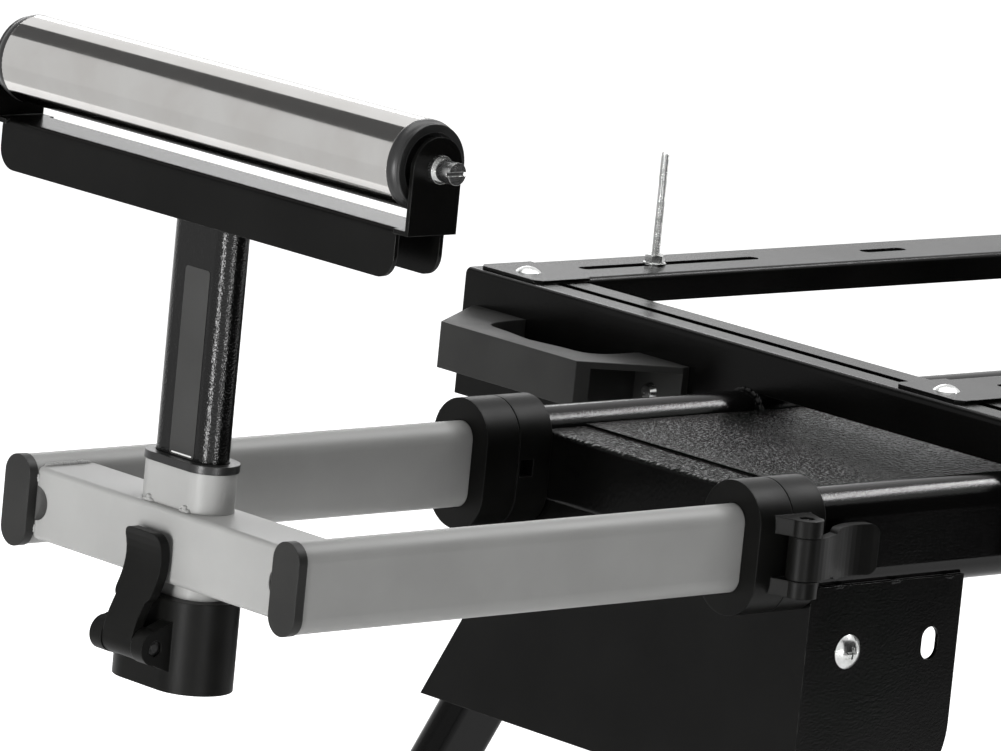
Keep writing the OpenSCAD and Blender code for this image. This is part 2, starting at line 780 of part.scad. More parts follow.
module arm_plugs(right) color(plastic) stand() end_side(right) both_y() {
    bore_h = arm_h - 2 * tube_wall - 2 * seat_gap;
    bore_t = arm_t - 2 * tube_wall - 2 * seat_gap;
    translate([-arm_end, tube_y, 0]) {
        along_x(cap_t) oval(arm_h + 2 * cap_rim, arm_t + 2 * cap_rim);
        along_x(cap_t + cap_plug) oval(bore_h, bore_t);
    }
    // Glide: a plug with a sleeve that runs in the main tube
    translate([-tube_out + arm_len, tube_y, 0]) {
        run_h = main_h - 2 * tube_wall - 2 * slide_gap;
        run_t = main_t - 2 * tube_wall - 2 * slide_gap;
        along_x(glide_t) oval(run_h, run_t);
        translate([-cap_plug, 0, 0]) along_x(cap_plug + glide_t) oval(bore_h, bore_t);
        translate([-glide_len, 0, 0]) difference() {
            along_x(glide_len) oval(run_h, run_t);
            translate([-cut, 0, 0]) along_x(glide_len + cut)
                oval(arm_h + 2 * seat_gap, arm_t + 2 * seat_gap);
        }
    }
}

// Collar: a flange on the sleeve and a bush inside it
module post_collar(right) color(plastic) stand() end_side(right) translate([-post_x, 0, 0]) {
    difference() {
        union() {
            translate([0, 0, sleeve_top]) linear_extrude(collar_h)
                oval(main_h + 2 * collar_rim, main_t + 2 * collar_rim);
            translate([0, 0, sleeve_top - sleeve_up]) linear_extrude(sleeve_up + collar_h)
                oval(main_h - 2 * tube_wall - 2 * seat_gap, main_t - 2 * tube_wall - 2 * seat_gap);
        }
        translate([0, 0, -cut]) linear_extrude(collar_top + 2 * cut)
            oval(arm_h + 2 * slide_gap, arm_t + 2 * slide_gap);
    }
}

// Post, bracket and roller
module post(right) color(black) stand() end_side(right) translate([-post_x, 0, post_low])
    oval_tube(plate_top - bracket_t - post_low, arm_h, arm_t, tube_wall);

module roller_bracket(right) color(black) stand() end_side(right)
    translate([-post_x, 0, plate_top]) {
    skirt_y = ear_out - skirt_short;
    // Folded channel with its lower corners rounded
    intersection() {
        translate([0, -skirt_y, 0]) along_y(2 * skirt_y)
            channel(bracket_w, skirt_h, skirt_h, bracket_t);
        translate([-bracket_w, 0, 0]) along_x(2 * bracket_w) union() {
            translate([-skirt_y, -skirt_h + skirt_r]) square([2 * skirt_y, skirt_h - skirt_r + cut]);
            translate([-skirt_y + skirt_r, -skirt_h - cut])
                square([2 * (skirt_y - skirt_r), skirt_h + cut]);
            for (s = [-1, 1]) translate([s * (skirt_y - skirt_r), -skirt_h + skirt_r])
                circle(skirt_r);
        }
    }
    // Ears folded up at both ends, with round tops
    both_y() difference() {
        union() {
            translate([-bracket_w / 2, skirt_y - bracket_t, -bracket_t])
                cube([bracket_w, ear_out - skirt_y + bracket_t, bracket_t]);
            translate([0, ear_y, 0]) along_y(bracket_t) {
                translate([-bracket_w / 2, -bracket_t]) square([bracket_w, axis_up + bracket_t]);
                translate([0, axis_up]) circle(bracket_w / 2);
            }
        }
        translate([0, ear_y - cut, axis_up]) along_y(bracket_t + 2 * cut)
            circle(axle_d / 2 + seat_gap);
    }
}

module roller_axle(right) color(zinc) stand() end_side(right) translate([-post_x, 0, axis_z]) {
    translate([0, -ear_out - axle_collar_t, 0])
        along_y(2 * ear_out + axle_collar_t + axle_nut_h) circle(d = axle_d);
    translate([0, -ear_out - axle_collar_t - seat_gap, 0]) along_y(axle_collar_t)
        circle(d = axle_collar_d);
    difference() {
        translate([0, -ear_out - stub_len, 0]) along_y(stub_len - axle_collar_t) circle(d = stub_d);
        translate([-stub_d, -ear_out - stub_len - cut, -stub_slit / 2])
            cube([2 * stub_d, stub_slit + cut, stub_slit]);
    }
    translate([0, ear_out + seat_gap, 0]) rotate([-90, 0, 0]) hex(axle_nut_d, axle_nut_h - seat_gap);
}

module roller_tube(right) color(chrome) stand() end_side(right) translate([-post_x, 0, axis_z]) {
    l = roller_len - 2 * roller_cap_len;
    translate([0, -l / 2, 0]) along_y(l) difference() {
        circle(d = roller_d, $fn = 96);
        circle(d = roller_d - 2 * roller_wall, $fn = 96);
    }
}

// End caps, turned in one piece: rounded rim, dished face, hub and the plug in the tube
module roller_caps(right) color(plastic) stand() end_side(right)
    translate([-post_x, 0, axis_z]) both_y()
    translate([0, -roller_len / 2, 0]) rotate([-90, 0, 0]) {
    r = roller_d / 2;
    bore = axle_d / 2 + shaft_gap;
    rotate_extrude($fn = 96) difference() {
        union() {
            translate([bore, 0]) square([r - roller_edge - bore, roller_cap_len]);
            translate([bore, roller_edge]) square([r - bore, roller_cap_len - roller_edge]);
            intersection() {
                translate([r - roller_edge, roller_edge]) circle(roller_edge);
                square([r, roller_cap_len]);
            }
            translate([bore, 0])
                square([r - roller_wall - seat_gap - bore, roller_cap_len + roller_plug]);
        }
        translate([hub_d / 2, -cut]) square([r - roller_edge - hub_d / 2, cap_dish + cut]);
        translate([hub_d / 2, roller_cap_len])
            square([r - 3 * roller_wall - hub_d / 2, roller_plug + cut]);
        translate([-r, -r]) square([r + bore, 4 * r]);
    }
}

// Legs: drawn from the pivot with the bracket's outer face at zero and the inside at +Y
module leg_place(back) {
    if (back) translate([-leg_x, splay_y, splay_z]) rotate([splay, 0, 0])
        translate([0, 0, -back_pivot]) mirror([0, 1, 0]) children();
    else translate([-leg_x, -plate_y, -leg_pivot_drop]) children();
}

module above_floor(height, back) {
    intersection() {
        leg_place(back) children();
        translate([-2 * frame_height, -2 * frame_height, -frame_height + height])
            cube([4 * frame_height, 4 * frame_height, frame_height]);
    }
}

// The tube's top end is rounded about the pivot, so that it clears the frame as it folds
module leg(right, back) color(black) stand() end_side(right) {
    inset = right ? nest_step : 0;
    above_floor(foot_base, back) difference() {
        intersection() {
            translate([0, leg_in + inset, -2 * frame_height]) difference() {
                linear_extrude(2 * frame_height + leg_w / 2) rotate(90) oval(leg_w, leg_t);
                translate([0, 0, -cut]) linear_extrude(2 * frame_height + leg_w) rotate(90)
                    oval(leg_w - 2 * tube_wall, leg_t - 2 * tube_wall);
            }
            translate([0, inset, 0]) along_y(2 * leg_in) {
                circle(leg_w / 2 - seat_gap);
                translate([-leg_w, -2 * frame_height]) square([2 * leg_w, 2 * frame_height]);
            }
        }
        translate([0, inset, 0]) along_y(2 * leg_in) circle(leg_bolt_d / 2 + shaft_gap);
        translate([0, inset, -lock_r]) along_y(leg_in) circle(d = button_d + 2 * slide_gap);
    }
}

module foot(right, back) color(plastic) stand() end_side(right) {
    inset = right ? nest_step : 0;
    slant = back ? splay : 0;
    l = (frame_height - leg_pivot_drop) / cos(slant) - (leg_in + inset) * tan(slant);
    difference() {
        above_floor(0, back) translate([0, leg_in + inset, -l - foot_h])
            linear_extrude(2 * foot_h) rotate(90)
            oval(leg_w + 2 * foot_wall, leg_t + 2 * foot_wall);
        above_floor(foot_base - seat_gap, back) translate([0, leg_in + inset, -l - foot_h])
            linear_extrude(4 * foot_h) rotate(90)
            oval(leg_w + 2 * seat_gap, leg_t + 2 * seat_gap);
    }
}

// Sprung button inside the leg, pressed in; its travel carries it out through the bracket's hole
module lock_button(right, back) color(zinc) stand() end_side(right) leg_place(back)
    translate([0, leg_bracket_t + weld_gap, -lock_r]) {
    inset = right ? nest_step : 0;
    flange_y = leg_gap + tube_wall + inset + button_travel;
    rotate([-90, 0, 0]) {
        cylinder(d1 = button_d - 2 * button_tip, d2 = button_d, h = button_tip);
        translate([0, 0, button_tip]) cylinder(d = button_d, h = flange_y - button_tip);
        translate([0, 0, flange_y]) cylinder(d = button_d + 2 * button_rim, h = button_flange_t);
    }
}

main_tubes();
cross_members();
leg_bracket(false);  // left_leg_bracket
leg_bracket(true);  // right_leg_bracket
end_plate(false);  // left_end_plate
end_plate(true);  // right_end_plate
carry_handles();
frame_bolts();
tube_clamps(false);  // left_tube_clamps
tube_clamps(true);  // right_tube_clamps
back_rail();
front_rail();
rail_bolts(back_rail_y);  // back_rail_bolts
rail_bolts(front_rail_y);  // front_rail_bolts
saw_bolt(-saw_bolt_x, back_rail_y);  // back_left_saw_bolt
saw_bolt(saw_bolt_x, back_rail_y);  // back_right_saw_bolt
saw_bolt(-saw_bolt_x, front_rail_y);  // front_left_saw_bolt
saw_bolt(saw_bolt_x, front_rail_y);  // front_right_saw_bolt
arm_tubes(false);  // left_arm_tubes
arm_tubes(true);  // right_arm_tubes
cross_beam(false);  // left_cross_beam
cross_beam(true);  // right_cross_beam
post_sleeve(false);  // left_post_sleeve
post_sleeve(true);  // right_post_sleeve
arm_plugs(false);  // left_arm_plugs
arm_plugs(true);  // right_arm_plugs
post_collar(false);  // left_post_collar
post_collar(true);  // right_post_collar
post_clamp(false);  // left_post_clamp
post_clamp(true);  // right_post_clamp
clamp_screw(false);  // left_clamp_screw
clamp_screw(true);  // right_clamp_screw
post(false);  // left_post
post(true);  // right_post
roller_bracket(false);  // left_roller_bracket
roller_bracket(true);  // right_roller_bracket
roller_axle(false);  // left_roller_axle
roller_axle(true);  // right_roller_axle
roller_tube(false);  // left_roller_tube
roller_tube(true);  // right_roller_tube
roller_caps(false);  // left_roller_caps
roller_caps(true);  // right_roller_caps
arm_lever(false, false);  // left_front_lever
arm_lever(false, true);  // left_back_lever
arm_lever(true, false);  // right_front_lever
arm_lever(true, true);  // right_back_lever
post_lever(false);  // left_post_lever
post_lever(true);  // right_post_lever
leg(false, false);  // left_front_leg
leg(false, true);  // left_back_leg
leg(true, false);  // right_front_leg
leg(true, true);  // right_back_leg
foot(false, false);  // left_front_foot
foot(false, true);  // left_back_foot
foot(true, false);  // right_front_foot
foot(true, true);  // right_back_foot
lock_button(false, false);  // left_front_button
lock_button(false, true);  // left_back_button
lock_button(true, false);  // right_front_button
lock_button(true, true);  // right_back_button
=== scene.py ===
import bmesh
import bpy
import json
import math
from mathutils import Matrix, Vector
from random import Random


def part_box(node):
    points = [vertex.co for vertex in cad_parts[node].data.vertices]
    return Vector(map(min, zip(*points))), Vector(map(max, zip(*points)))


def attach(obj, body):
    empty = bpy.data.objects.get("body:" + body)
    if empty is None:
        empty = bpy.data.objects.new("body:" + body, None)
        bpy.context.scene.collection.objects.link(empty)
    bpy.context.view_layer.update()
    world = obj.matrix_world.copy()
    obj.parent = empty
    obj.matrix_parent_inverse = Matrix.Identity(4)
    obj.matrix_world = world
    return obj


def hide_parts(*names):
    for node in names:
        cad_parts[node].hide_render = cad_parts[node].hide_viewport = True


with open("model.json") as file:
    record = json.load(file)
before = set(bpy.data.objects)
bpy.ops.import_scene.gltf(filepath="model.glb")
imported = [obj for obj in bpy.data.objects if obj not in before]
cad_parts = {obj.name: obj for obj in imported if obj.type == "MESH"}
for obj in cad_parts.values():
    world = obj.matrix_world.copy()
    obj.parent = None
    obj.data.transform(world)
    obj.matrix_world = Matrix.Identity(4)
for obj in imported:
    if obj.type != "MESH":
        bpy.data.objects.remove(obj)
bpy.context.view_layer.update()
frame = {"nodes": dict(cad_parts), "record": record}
nodes = frame["nodes"]
scene = bpy.context.scene
sides = ("left", "right")
rows = ("front", "back")
print("frame loaded:", len(nodes), "nodes")


# Camera, at the photograph's viewing angle
cameraSettings = {
    "place": (-3.6824, -3.42854, 1.6867),
    "looksAlong": (0.67300, 0.71674, -0.18266),
    "rollDegrees": 5.603,
    "lens": 296.09,
    "sensor": 36.0,
    "clipEnd": 60,
}


def makeCamera(look):
    data = bpy.data.cameras.new("stand_camera")
    data.lens = look["lens"]
    data.sensor_width = look["sensor"]
    data.sensor_fit = "HORIZONTAL"
    data.clip_end = look["clipEnd"]
    camera = bpy.data.objects.new("stand_camera", data)
    aim = Vector(look["looksAlong"]).to_track_quat("-Z", "Y").to_matrix().to_4x4()
    roll = Matrix.Rotation(math.radians(look["rollDegrees"]), 4, "Z")
    camera.matrix_world = Matrix.Translation(look["place"]) @ aim @ roll
    scene.collection.objects.link(camera)
    scene.camera = camera


makeCamera(cameraSettings)
print("camera placed")


# What all finishes share: the detail of each noise, the part of its range that shows,
# and the shift that keeps two noises apart
noiseDetail = {"clouds": 4.0, "wearAndGlint": 3.0, "fine": 2.0, "tarnish": 5.0, "polish": 3.0, "pits": 2.0}
noiseRange = {
    "clouds": (0.35, 0.65), "gloss": (0.30, 0.70), "wearAndGlint": (0.42, 0.62),
    "tarnish": (0.38, 0.66), "polish": (0.12, 0.42),
}
noiseShift = {"fine": 3.7, "pits": 1.3}
upwardRange = (0.2, 0.8)  # how much a face looks up, from flank to top
edgeRange = (0.98, 0.80)  # likeness of the rounded and the flat normal, from even to a worn and glinting edge
bevelSamples = 4


# Shader helpers
def plug(tree, socket, value):
    if isinstance(value, bpy.types.NodeSocket):
        tree.links.new(value, socket)
    elif socket.type == "RGBA" and len(value) == 3:
        socket.default_value = (*value, 1)
    else:
        socket.default_value = value


def addNode(tree, kind, inputs=None, **settings):
    made = tree.nodes.new("ShaderNode" + kind)
    for name, value in settings.items():
        setattr(made, name, value)
    for name, value in (inputs or {}).items():
        plug(tree, made.inputs[name], value)
    return made


def reckon(tree, operation, first, second):
    return addNode(tree, "Math", {0: first, 1: second}, operation=operation).outputs[0]


def grain(tree, coords, size, detail=2.0, stretch=(1, 1, 1), shift=0.0):
    moved = addNode(tree, "Mapping", {
        "Vector": coords, "Location": (shift, shift, shift), "Scale": stretch,
    }).outputs[0]
    return addNode(tree, "TexNoise", {
        "Vector": moved, "Scale": 1 / size, "Detail": detail,
    }).outputs["Fac"]


def ramp(tree, value, low, high, outLow=0.0, outHigh=1.0):
    return addNode(tree, "MapRange", {
        "Value": value, "From Min": low, "From Max": high, "To Min": outLow, "To Max": outHigh,
    }).outputs[0]


def blendColours(tree, share, first, second):
    mixed = addNode(tree, "Mix", {0: share, 6: first, 7: second}, data_type="RGBA")
    return mixed.outputs[2]


def roundedNormal(tree, radius):
    return addNode(tree, "Bevel", {"Radius": radius}, samples=bevelSamples).outputs[0]


def edgeShare(tree, rounded):
    flat = addNode(tree, "NewGeometry").outputs["Normal"]
    likeness = addNode(tree, "VectorMath", {0: rounded, 1: flat}, operation="DOT_PRODUCT")
    return ramp(tree, likeness.outputs["Value"], *edgeRange)


def bump(tree, height, distance, normal):
    return addNode(tree, "Bump", {
        "Height": height, "Distance": distance, "Normal": normal,
    }).outputs[0]


def startMaterial(name):
    material = bpy.data.materials.new(name)
    material.use_nodes = True
    tree = material.node_tree
    coords = addNode(tree, "TexCoord").outputs["Object"]
    return material, tree, tree.nodes["Principled BSDF"], coords


# Paint, plastic and rubber: a cloudy colour, paler on edges in patches (partly real wear, partly a
# painted highlight where the edges catch the light), with two sizes of grain.
# Where the look has a flankPeel, the coarse grain fades to that share on faces that don't look up.
def coating(name, look):
    material, tree, shader, coords = startMaterial(name)
    rounded = roundedNormal(tree, look["edgeRadius"])
    clouds = grain(tree, coords, look["cloudSize"], noiseDetail["clouds"])
    cloudShare = ramp(tree, clouds, *noiseRange["clouds"])
    colour = blendColours(tree, cloudShare, look["colour"], look["cloudColour"])
    # Paler edges: partly edge wear, partly a painted highlight on edges that catch the light
    wearAndGlint = grain(tree, coords, look["wearAndGlintSize"], noiseDetail["wearAndGlint"])
    wearAndGlintPatches = ramp(tree, wearAndGlint, *noiseRange["wearAndGlint"], 0.0, look["wearAndGlint"])
    edgeWearAndGlint = reckon(tree, "MULTIPLY", edgeShare(tree, rounded), wearAndGlintPatches)
    plug(tree, shader.inputs["Base Color"], blendColours(tree, edgeWearAndGlint, colour, look["edgeWearAndGlintColour"]))
    rough = ramp(tree, clouds, *noiseRange["gloss"], *look["roughness"])
    plug(tree, shader.inputs["Roughness"], rough)
    shader.inputs["Specular IOR Level"].default_value = look["specular"]
    peel = grain(tree, coords, look["peelSize"], look["peelDetail"])
    fine = grain(tree, coords, look["fineSize"], noiseDetail["fine"], shift=noiseShift["fine"])
    surface = bump(tree, peel, look["peelDepth"], rounded)
    if "flankPeel" in look:
        normal = addNode(tree, "NewGeometry").outputs["True Normal"]
        facing = addNode(tree, "SeparateXYZ", {0: normal}).outputs[2]
        share = ramp(tree, facing, *upwardRange, look["flankPeel"], 1.0)
        plug(tree, surface.node.inputs["Strength"], share)
    plug(tree, shader.inputs["Normal"], bump(tree, fine, look["fineDepth"], surface))
    return material


# Each look's edge colour is partly worn paint and partly a painted highlight on edges that catch
# the light
glossPaint = {
    "colour": (0.0018, 0.0018, 0.0018), "cloudColour": (0.0028, 0.0028, 0.0027),
    "edgeWearAndGlintColour": (0.022, 0.022, 0.021), "cloudSize": 0.09, "wearAndGlintSize": 0.012, "wearAndGlint": 0.5,
    "edgeRadius": 0.0009, "peelSize": 0.0011, "peelDetail": 1.0, "peelDepth": 0.00006,
    "fineSize": 0.0006, "fineDepth": 0.00002, "roughness": (0.10, 0.15), "specular": 0.18,
}
postPaint = dict(glossPaint, peelDepth=0.00020, roughness=(0.06, 0.10), specular=0.30)
legPaint = dict(glossPaint, roughness=(0.16, 0.22), specular=0.08)
sheetPaint = {
    "colour": (0.0026, 0.0026, 0.0024), "cloudColour": (0.0042, 0.0042, 0.0039),
    "edgeWearAndGlintColour": (0.07, 0.07, 0.067), "cloudSize": 0.07, "wearAndGlintSize": 0.008, "wearAndGlint": 0.9,
    "edgeRadius": 0.0007, "peelSize": 0.0013, "peelDetail": 1.0, "peelDepth": 0.00004,
    "fineSize": 0.0004, "fineDepth": 0.00002, "roughness": (0.17, 0.23), "specular": 0.11,
}
grainPaint = {
    "colour": (0.0016, 0.0016, 0.0015), "cloudColour": (0.0028, 0.0028, 0.0026),
    "edgeWearAndGlintColour": (0.04, 0.04, 0.038), "cloudSize": 0.05, "wearAndGlintSize": 0.01, "wearAndGlint": 0.6,
    "edgeRadius": 0.0009, "peelSize": 0.0024, "peelDetail": 0.5, "peelDepth": 0.0017,
    "fineSize": 0.0006, "fineDepth": 0.00004, "roughness": (0.16, 0.24), "specular": 0.08,
    "flankPeel": 0.06,
}
satinGrey = {
    "colour": (0.325, 0.325, 0.318), "cloudColour": (0.352, 0.352, 0.345),
    "edgeWearAndGlintColour": (0.47, 0.47, 0.46), "cloudSize": 0.05, "wearAndGlintSize": 0.008, "wearAndGlint": 0.35,
    "edgeRadius": 0.0010, "peelSize": 0.0022, "peelDetail": 1.0, "peelDepth": 0.00003,
    "fineSize": 0.0006, "fineDepth": 0.000012, "roughness": (0.38, 0.48), "specular": 0.40,
}
mouldedPlastic = {
    "colour": (0.0185, 0.0185, 0.0178), "cloudColour": (0.0245, 0.0245, 0.0235),
    "edgeWearAndGlintColour": (0.050, 0.050, 0.048), "cloudSize": 0.03, "wearAndGlintSize": 0.006, "wearAndGlint": 0.55,
    "edgeRadius": 0.0010, "peelSize": 0.0009, "peelDetail": 1.0, "peelDepth": 0.00003,
    "fineSize": 0.0003, "fineDepth": 0.00003, "roughness": (0.40, 0.50), "specular": 0.22,
}
clampPlastic = dict(
    mouldedPlastic, colour=(0.0030, 0.0030, 0.0027), cloudColour=(0.0046, 0.0046, 0.0042),
    edgeWearAndGlintColour=(0.026, 0.026, 0.025), roughness=(0.34, 0.44), specular=0.11,
)
blackScrew = dict(
    mouldedPlastic, colour=(0.010, 0.010, 0.010), cloudColour=(0.016, 0.016, 0.016),
    roughness=(0.28, 0.38), specular=0.45,
)
footRubber = {
    "colour": (0.013, 0.013, 0.0128), "cloudColour": (0.024, 0.024, 0.023),
    "edgeWearAndGlintColour": (0.07, 0.068, 0.065), "cloudSize": 0.02, "wearAndGlintSize": 0.005, "wearAndGlint": 0.7,
    "edgeRadius": 0.0012, "peelSize": 0.0012, "peelDetail": 1.0, "peelDepth": 0.00006,
    "fineSize": 0.0004, "fineDepth": 0.00005, "roughness": (0.62, 0.76), "specular": 0.30,
}
stripFilm = {
    "colour": (0.029, 0.029, 0.028), "cloudColour": (0.036, 0.036, 0.035),
    "edgeWearAndGlintColour": (0.08, 0.08, 0.078), "cloudSize": 0.03, "wearAndGlintSize": 0.006, "wearAndGlint": 0.4,
    "edgeRadius": 0.0002, "peelSize": 0.0016, "peelDetail": 1.0, "peelDepth": 0.00002,
    "fineSize": 0.0005, "fineDepth": 0.00002, "roughness": (0.50, 0.60), "specular": 0.35,
}
stripInk = dict(
    stripFilm, colour=(0.80, 0.80, 0.79), cloudColour=(0.72, 0.72, 0.71),
    edgeWearAndGlintColour=(0.85, 0.85, 0.84),
)


# Bright metal: lines left by polishing, faint clouds of tarnish, and fine pits.
# Where the look has a darkBeyond, bolts further than that from the middle are blackened steel.
def metal(name, look):
    material, tree, shader, coords = startMaterial(name)
    rounded = roundedNormal(tree, look["edgeRadius"])
    clouds = grain(tree, coords, look["cloudSize"], noiseDetail["tarnish"])
    lines = grain(tree, coords, look["lineSize"], noiseDetail["polish"], look["lineStretch"])
    tarnish = ramp(tree, clouds, *noiseRange["tarnish"])
    colour = blendColours(tree, tarnish, look["colour"], look["cloudColour"])
    dulled = reckon(tree, "MULTIPLY", clouds, lines)
    rough = ramp(tree, dulled, *noiseRange["polish"], *look["roughness"])
    if "darkBeyond" in look:
        place = addNode(tree, "SeparateXYZ", {0: coords}).outputs[0]
        fromMiddle = reckon(tree, "ABSOLUTE", place, 0.0)
        dark = reckon(tree, "GREATER_THAN", fromMiddle, look["darkBeyond"])
        colour = blendColours(tree, dark, colour, look["darkColour"])
        plug(tree, shader.inputs["Metallic"], reckon(tree, "SUBTRACT", 1.0, dark))
    else:
        shader.inputs["Metallic"].default_value = 1.0
    plug(tree, shader.inputs["Base Color"], colour)
    plug(tree, shader.inputs["Roughness"], rough)
    surface = bump(tree, lines, look["lineDepth"], rounded)
    pits = grain(tree, coords, look["pitSize"], noiseDetail["pits"], shift=noiseShift["pits"])
    plug(tree, shader.inputs["Normal"], bump(tree, pits, look["pitDepth"], surface))
    return material


rollerChrome = {
    "colour": (0.70, 0.69, 0.675), "cloudColour": (0.65, 0.635, 0.615), "cloudSize": 0.035,
    "lineSize": 0.004, "lineStretch": (0.2, 6.0, 0.2), "lineDepth": 0.000003,
    "pitSize": 0.0012, "pitDepth": 0.000002, "edgeRadius": 0.0003, "roughness": (0.06, 0.13),
}
boltZinc = {
    "colour": (0.70, 0.705, 0.70), "cloudColour": (0.50, 0.505, 0.495), "cloudSize": 0.006,
    "lineSize": 0.002, "lineStretch": (1.0, 1.0, 3.0), "lineDepth": 0.00001,
    "pitSize": 0.0009, "pitDepth": 0.000015, "edgeRadius": 0.0003, "roughness": (0.16, 0.30),
}
mixedBolts = dict(boltZinc, darkBeyond=0.5, darkColour=(0.010, 0.010, 0.010))

finishes = {
    "glossPaint": coating("gloss_black_paint", glossPaint),
    "postPaint": coating("speckled_black_paint", postPaint),
    "legPaint": coating("plain_black_paint", legPaint),
    "sheetPaint": coating("fine_black_paint", sheetPaint),
    "grainPaint": coating("grained_black_paint", grainPaint),
    "satinGrey": coating("satin_grey_paint", satinGrey),
    "plastic": coating("moulded_plastic", mouldedPlastic),
    "clampPlastic": coating("clamp_plastic", clampPlastic),
    "rubber": coating("foot_rubber", footRubber),
    "stripFilm": coating("scale_strip_film", stripFilm),
    "stripInk": coating("scale_strip_ink", stripInk),
    "blackScrew": coating("black_screw", blackScrew),
    "chrome": metal("roller_chrome", rollerChrome),
    "zinc": metal("bright_zinc", boltZinc),
    "mixedBolts": metal("zinc_and_black_bolts", mixedBolts),
}
slotFinish = {
    "black_paint": "glossPaint", "table_paint": "sheetPaint", "grey_paint": "satinGrey",
    "black_plastic": "plastic", "foot_plastic": "rubber", "chrome": "chrome", "zinc": "zinc",
}
nodeFinish = {"cross_members": "grainPaint", "frame_bolts": "mixedBolts"}
sideFinish = {
    "post": "postPaint", "leg_bracket": "sheetPaint", "roller_bracket": "sheetPaint",
    "clamp_screw": "blackScrew", "post_collar": "blackScrew", "roller_caps": "blackScrew",
    "tube_clamps": "clampPlastic", "post_clamp": "clampPlastic", "post_lever": "clampPlastic",
    "front_lever": "clampPlastic", "back_lever": "clampPlastic",
    "front_leg": "legPaint", "back_leg": "legPaint",
}
for side in sides:
    for part, finish in sideFinish.items():
        nodeFinish[f"{side}_{part}"] = finish
for subpart in frame["record"]["subparts"]:
    nodeFinish.setdefault(subpart["node"], slotFinish[subpart["material_slot"]])
for name, cadNode in nodes.items():
    cadNode.data.materials.clear()
    cadNode.data.materials.append(finishes[nodeFinish[name]])
print("finishes on", len(nodes), "nodes")


# Mesh helpers: a loft is a list of rings of points, closed at both ends
def addLofts(name, body, finish, lofts, smoothAngle=35):
    points, faces = [], []
    for rings in lofts:
        start, steps = len(points), len(rings[0])
        for ring in rings:
            points.extend(tuple(point) for point in ring)
        for ring in range(len(rings) - 1):
            for step in range(steps):
                a = start + ring * steps + step
                b = start + ring * steps + (step + 1) % steps
                faces.append((a, b, b + steps, a + steps))
        faces.append(tuple(start + step for step in reversed(range(steps))))
        faces.append(tuple(start + (len(rings) - 1) * steps + step for step in range(steps)))
    mesh = bpy.data.meshes.new(name)
    mesh.from_pydata(points, [], faces)
    work = bmesh.new()
    work.from_mesh(mesh)
    bmesh.ops.recalc_face_normals(work, faces=work.faces)
    work.to_mesh(mesh)
    work.free()
    for face in mesh.polygons:
        face.use_smooth = True
    mesh.set_sharp_from_angle(angle=math.radians(smoothAngle))
    mesh.materials.append(finishes[finish])
    piece = bpy.data.objects.new(name, mesh)
    scene.collection.objects.link(piece)
    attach(piece, body)
    return piece


def ringAt(centre, height, steps, radiusAt):
    ring = []
    for step in range(steps):
        turn = 2 * math.pi * step / steps
        radius = radiusAt(turn)
        x = centre.x + radius * math.cos(turn)
        y = centre.y + radius * math.sin(turn)
        ring.append((x, y, height))
    return ring


# Saw bolts: a helical thread, a washer and a chamfered nut on the rail, and a hexagon head below it
sawBolt = {
    "threadRadius": 0.0030, "threadDepth": 0.0006, "pitch": 0.0010, "stepsPerTurn": 20,
    "ringsPerPitch": 6, "flankSlope": 1.3, "rootShare": 0.15, "tipChamfer": 0.0010,
    "washerRadius": 0.0070, "washerHeight": 0.0012, "washerEdge": 0.0002, "railSheet": 0.0021,
    "nutAcross": 0.0110, "nutHeight": 0.0050, "headHeight": 0.0038, "hexSteps": 72,
    "chamferFrom": 0.96, "chamferDegrees": 30,
}


def threadRings(centre, low, high, look):
    rings = []
    count = round((high - low) / look["pitch"] * look["ringsPerPitch"])
    for ring in range(count + 1):
        height = low + (high - low) * ring / count
        toTip = high - height

        def radiusAt(turn):
            phase = ((height - low) / look["pitch"] - turn / (2 * math.pi)) % 1
            flank = abs(2 * phase - 1) * look["flankSlope"] - look["rootShare"]
            ridge = min(1.0, max(0.0, flank))
            radius = look["threadRadius"] - look["threadDepth"] * (1 - ridge)
            return min(radius, look["threadRadius"] - look["tipChamfer"] + toTip)

        rings.append(ringAt(centre, height, look["stepsPerTurn"], radiusAt))
    return rings


def hexRings(centre, low, high, look):
    apothem = look["nutAcross"] / 2
    faceRadius = look["chamferFrom"] * apothem
    slope = math.tan(math.radians(look["chamferDegrees"]))
    sector = math.pi / 3

    def outline(turn):
        return apothem / math.cos((turn + sector / 2) % sector - sector / 2)

    def inner(turn):
        return faceRadius

    rings = [ringAt(centre, low, look["hexSteps"], inner)]
    for height, towards in ((low, 1), (high, -1)):
        ring = []
        for x, y, z in ringAt(centre, height, look["hexSteps"], outline):
            reach = math.hypot(x - centre.x, y - centre.y)
            ring.append((x, y, z + towards * (reach - faceRadius) * slope))
        rings.append(ring)
    rings.append(ringAt(centre, high, look["hexSteps"], inner))
    return rings


def washerRings(centre, low, look):
    edge = look["washerEdge"]
    radius = look["washerRadius"]
    high = low + look["washerHeight"]
    shape = (
        (radius - edge, low), (radius, low + edge), (radius, high - edge), (radius - edge, high),
    )
    rings = []
    for reach, height in shape:
        rings.append(ringAt(centre, height, look["hexSteps"], lambda turn: reach))
    return rings


def makeSawBolt(row, side, look):
    node = f"{row}_{side}_saw_bolt"
    low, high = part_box(node)
    centre = (low + high) / 2
    headTop = low.z + look["headHeight"]
    railTop = headTop + look["railSheet"]
    nutLow = railTop + look["washerHeight"] + look["washerEdge"]
    piece = addLofts(node + "_threaded", node + "_body", "zinc", [
        threadRings(centre, low.z + look["headHeight"] / 2, high.z, look),
        hexRings(centre, low.z, headTop, look),
        washerRings(centre, railTop + look["washerEdge"], look),
        hexRings(centre, nutLow, nutLow + look["nutHeight"], look),
    ])
    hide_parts(node)


for row in rows:
    for side in sides:
        makeSawBolt(row, side, sawBolt)
print("saw bolts threaded")


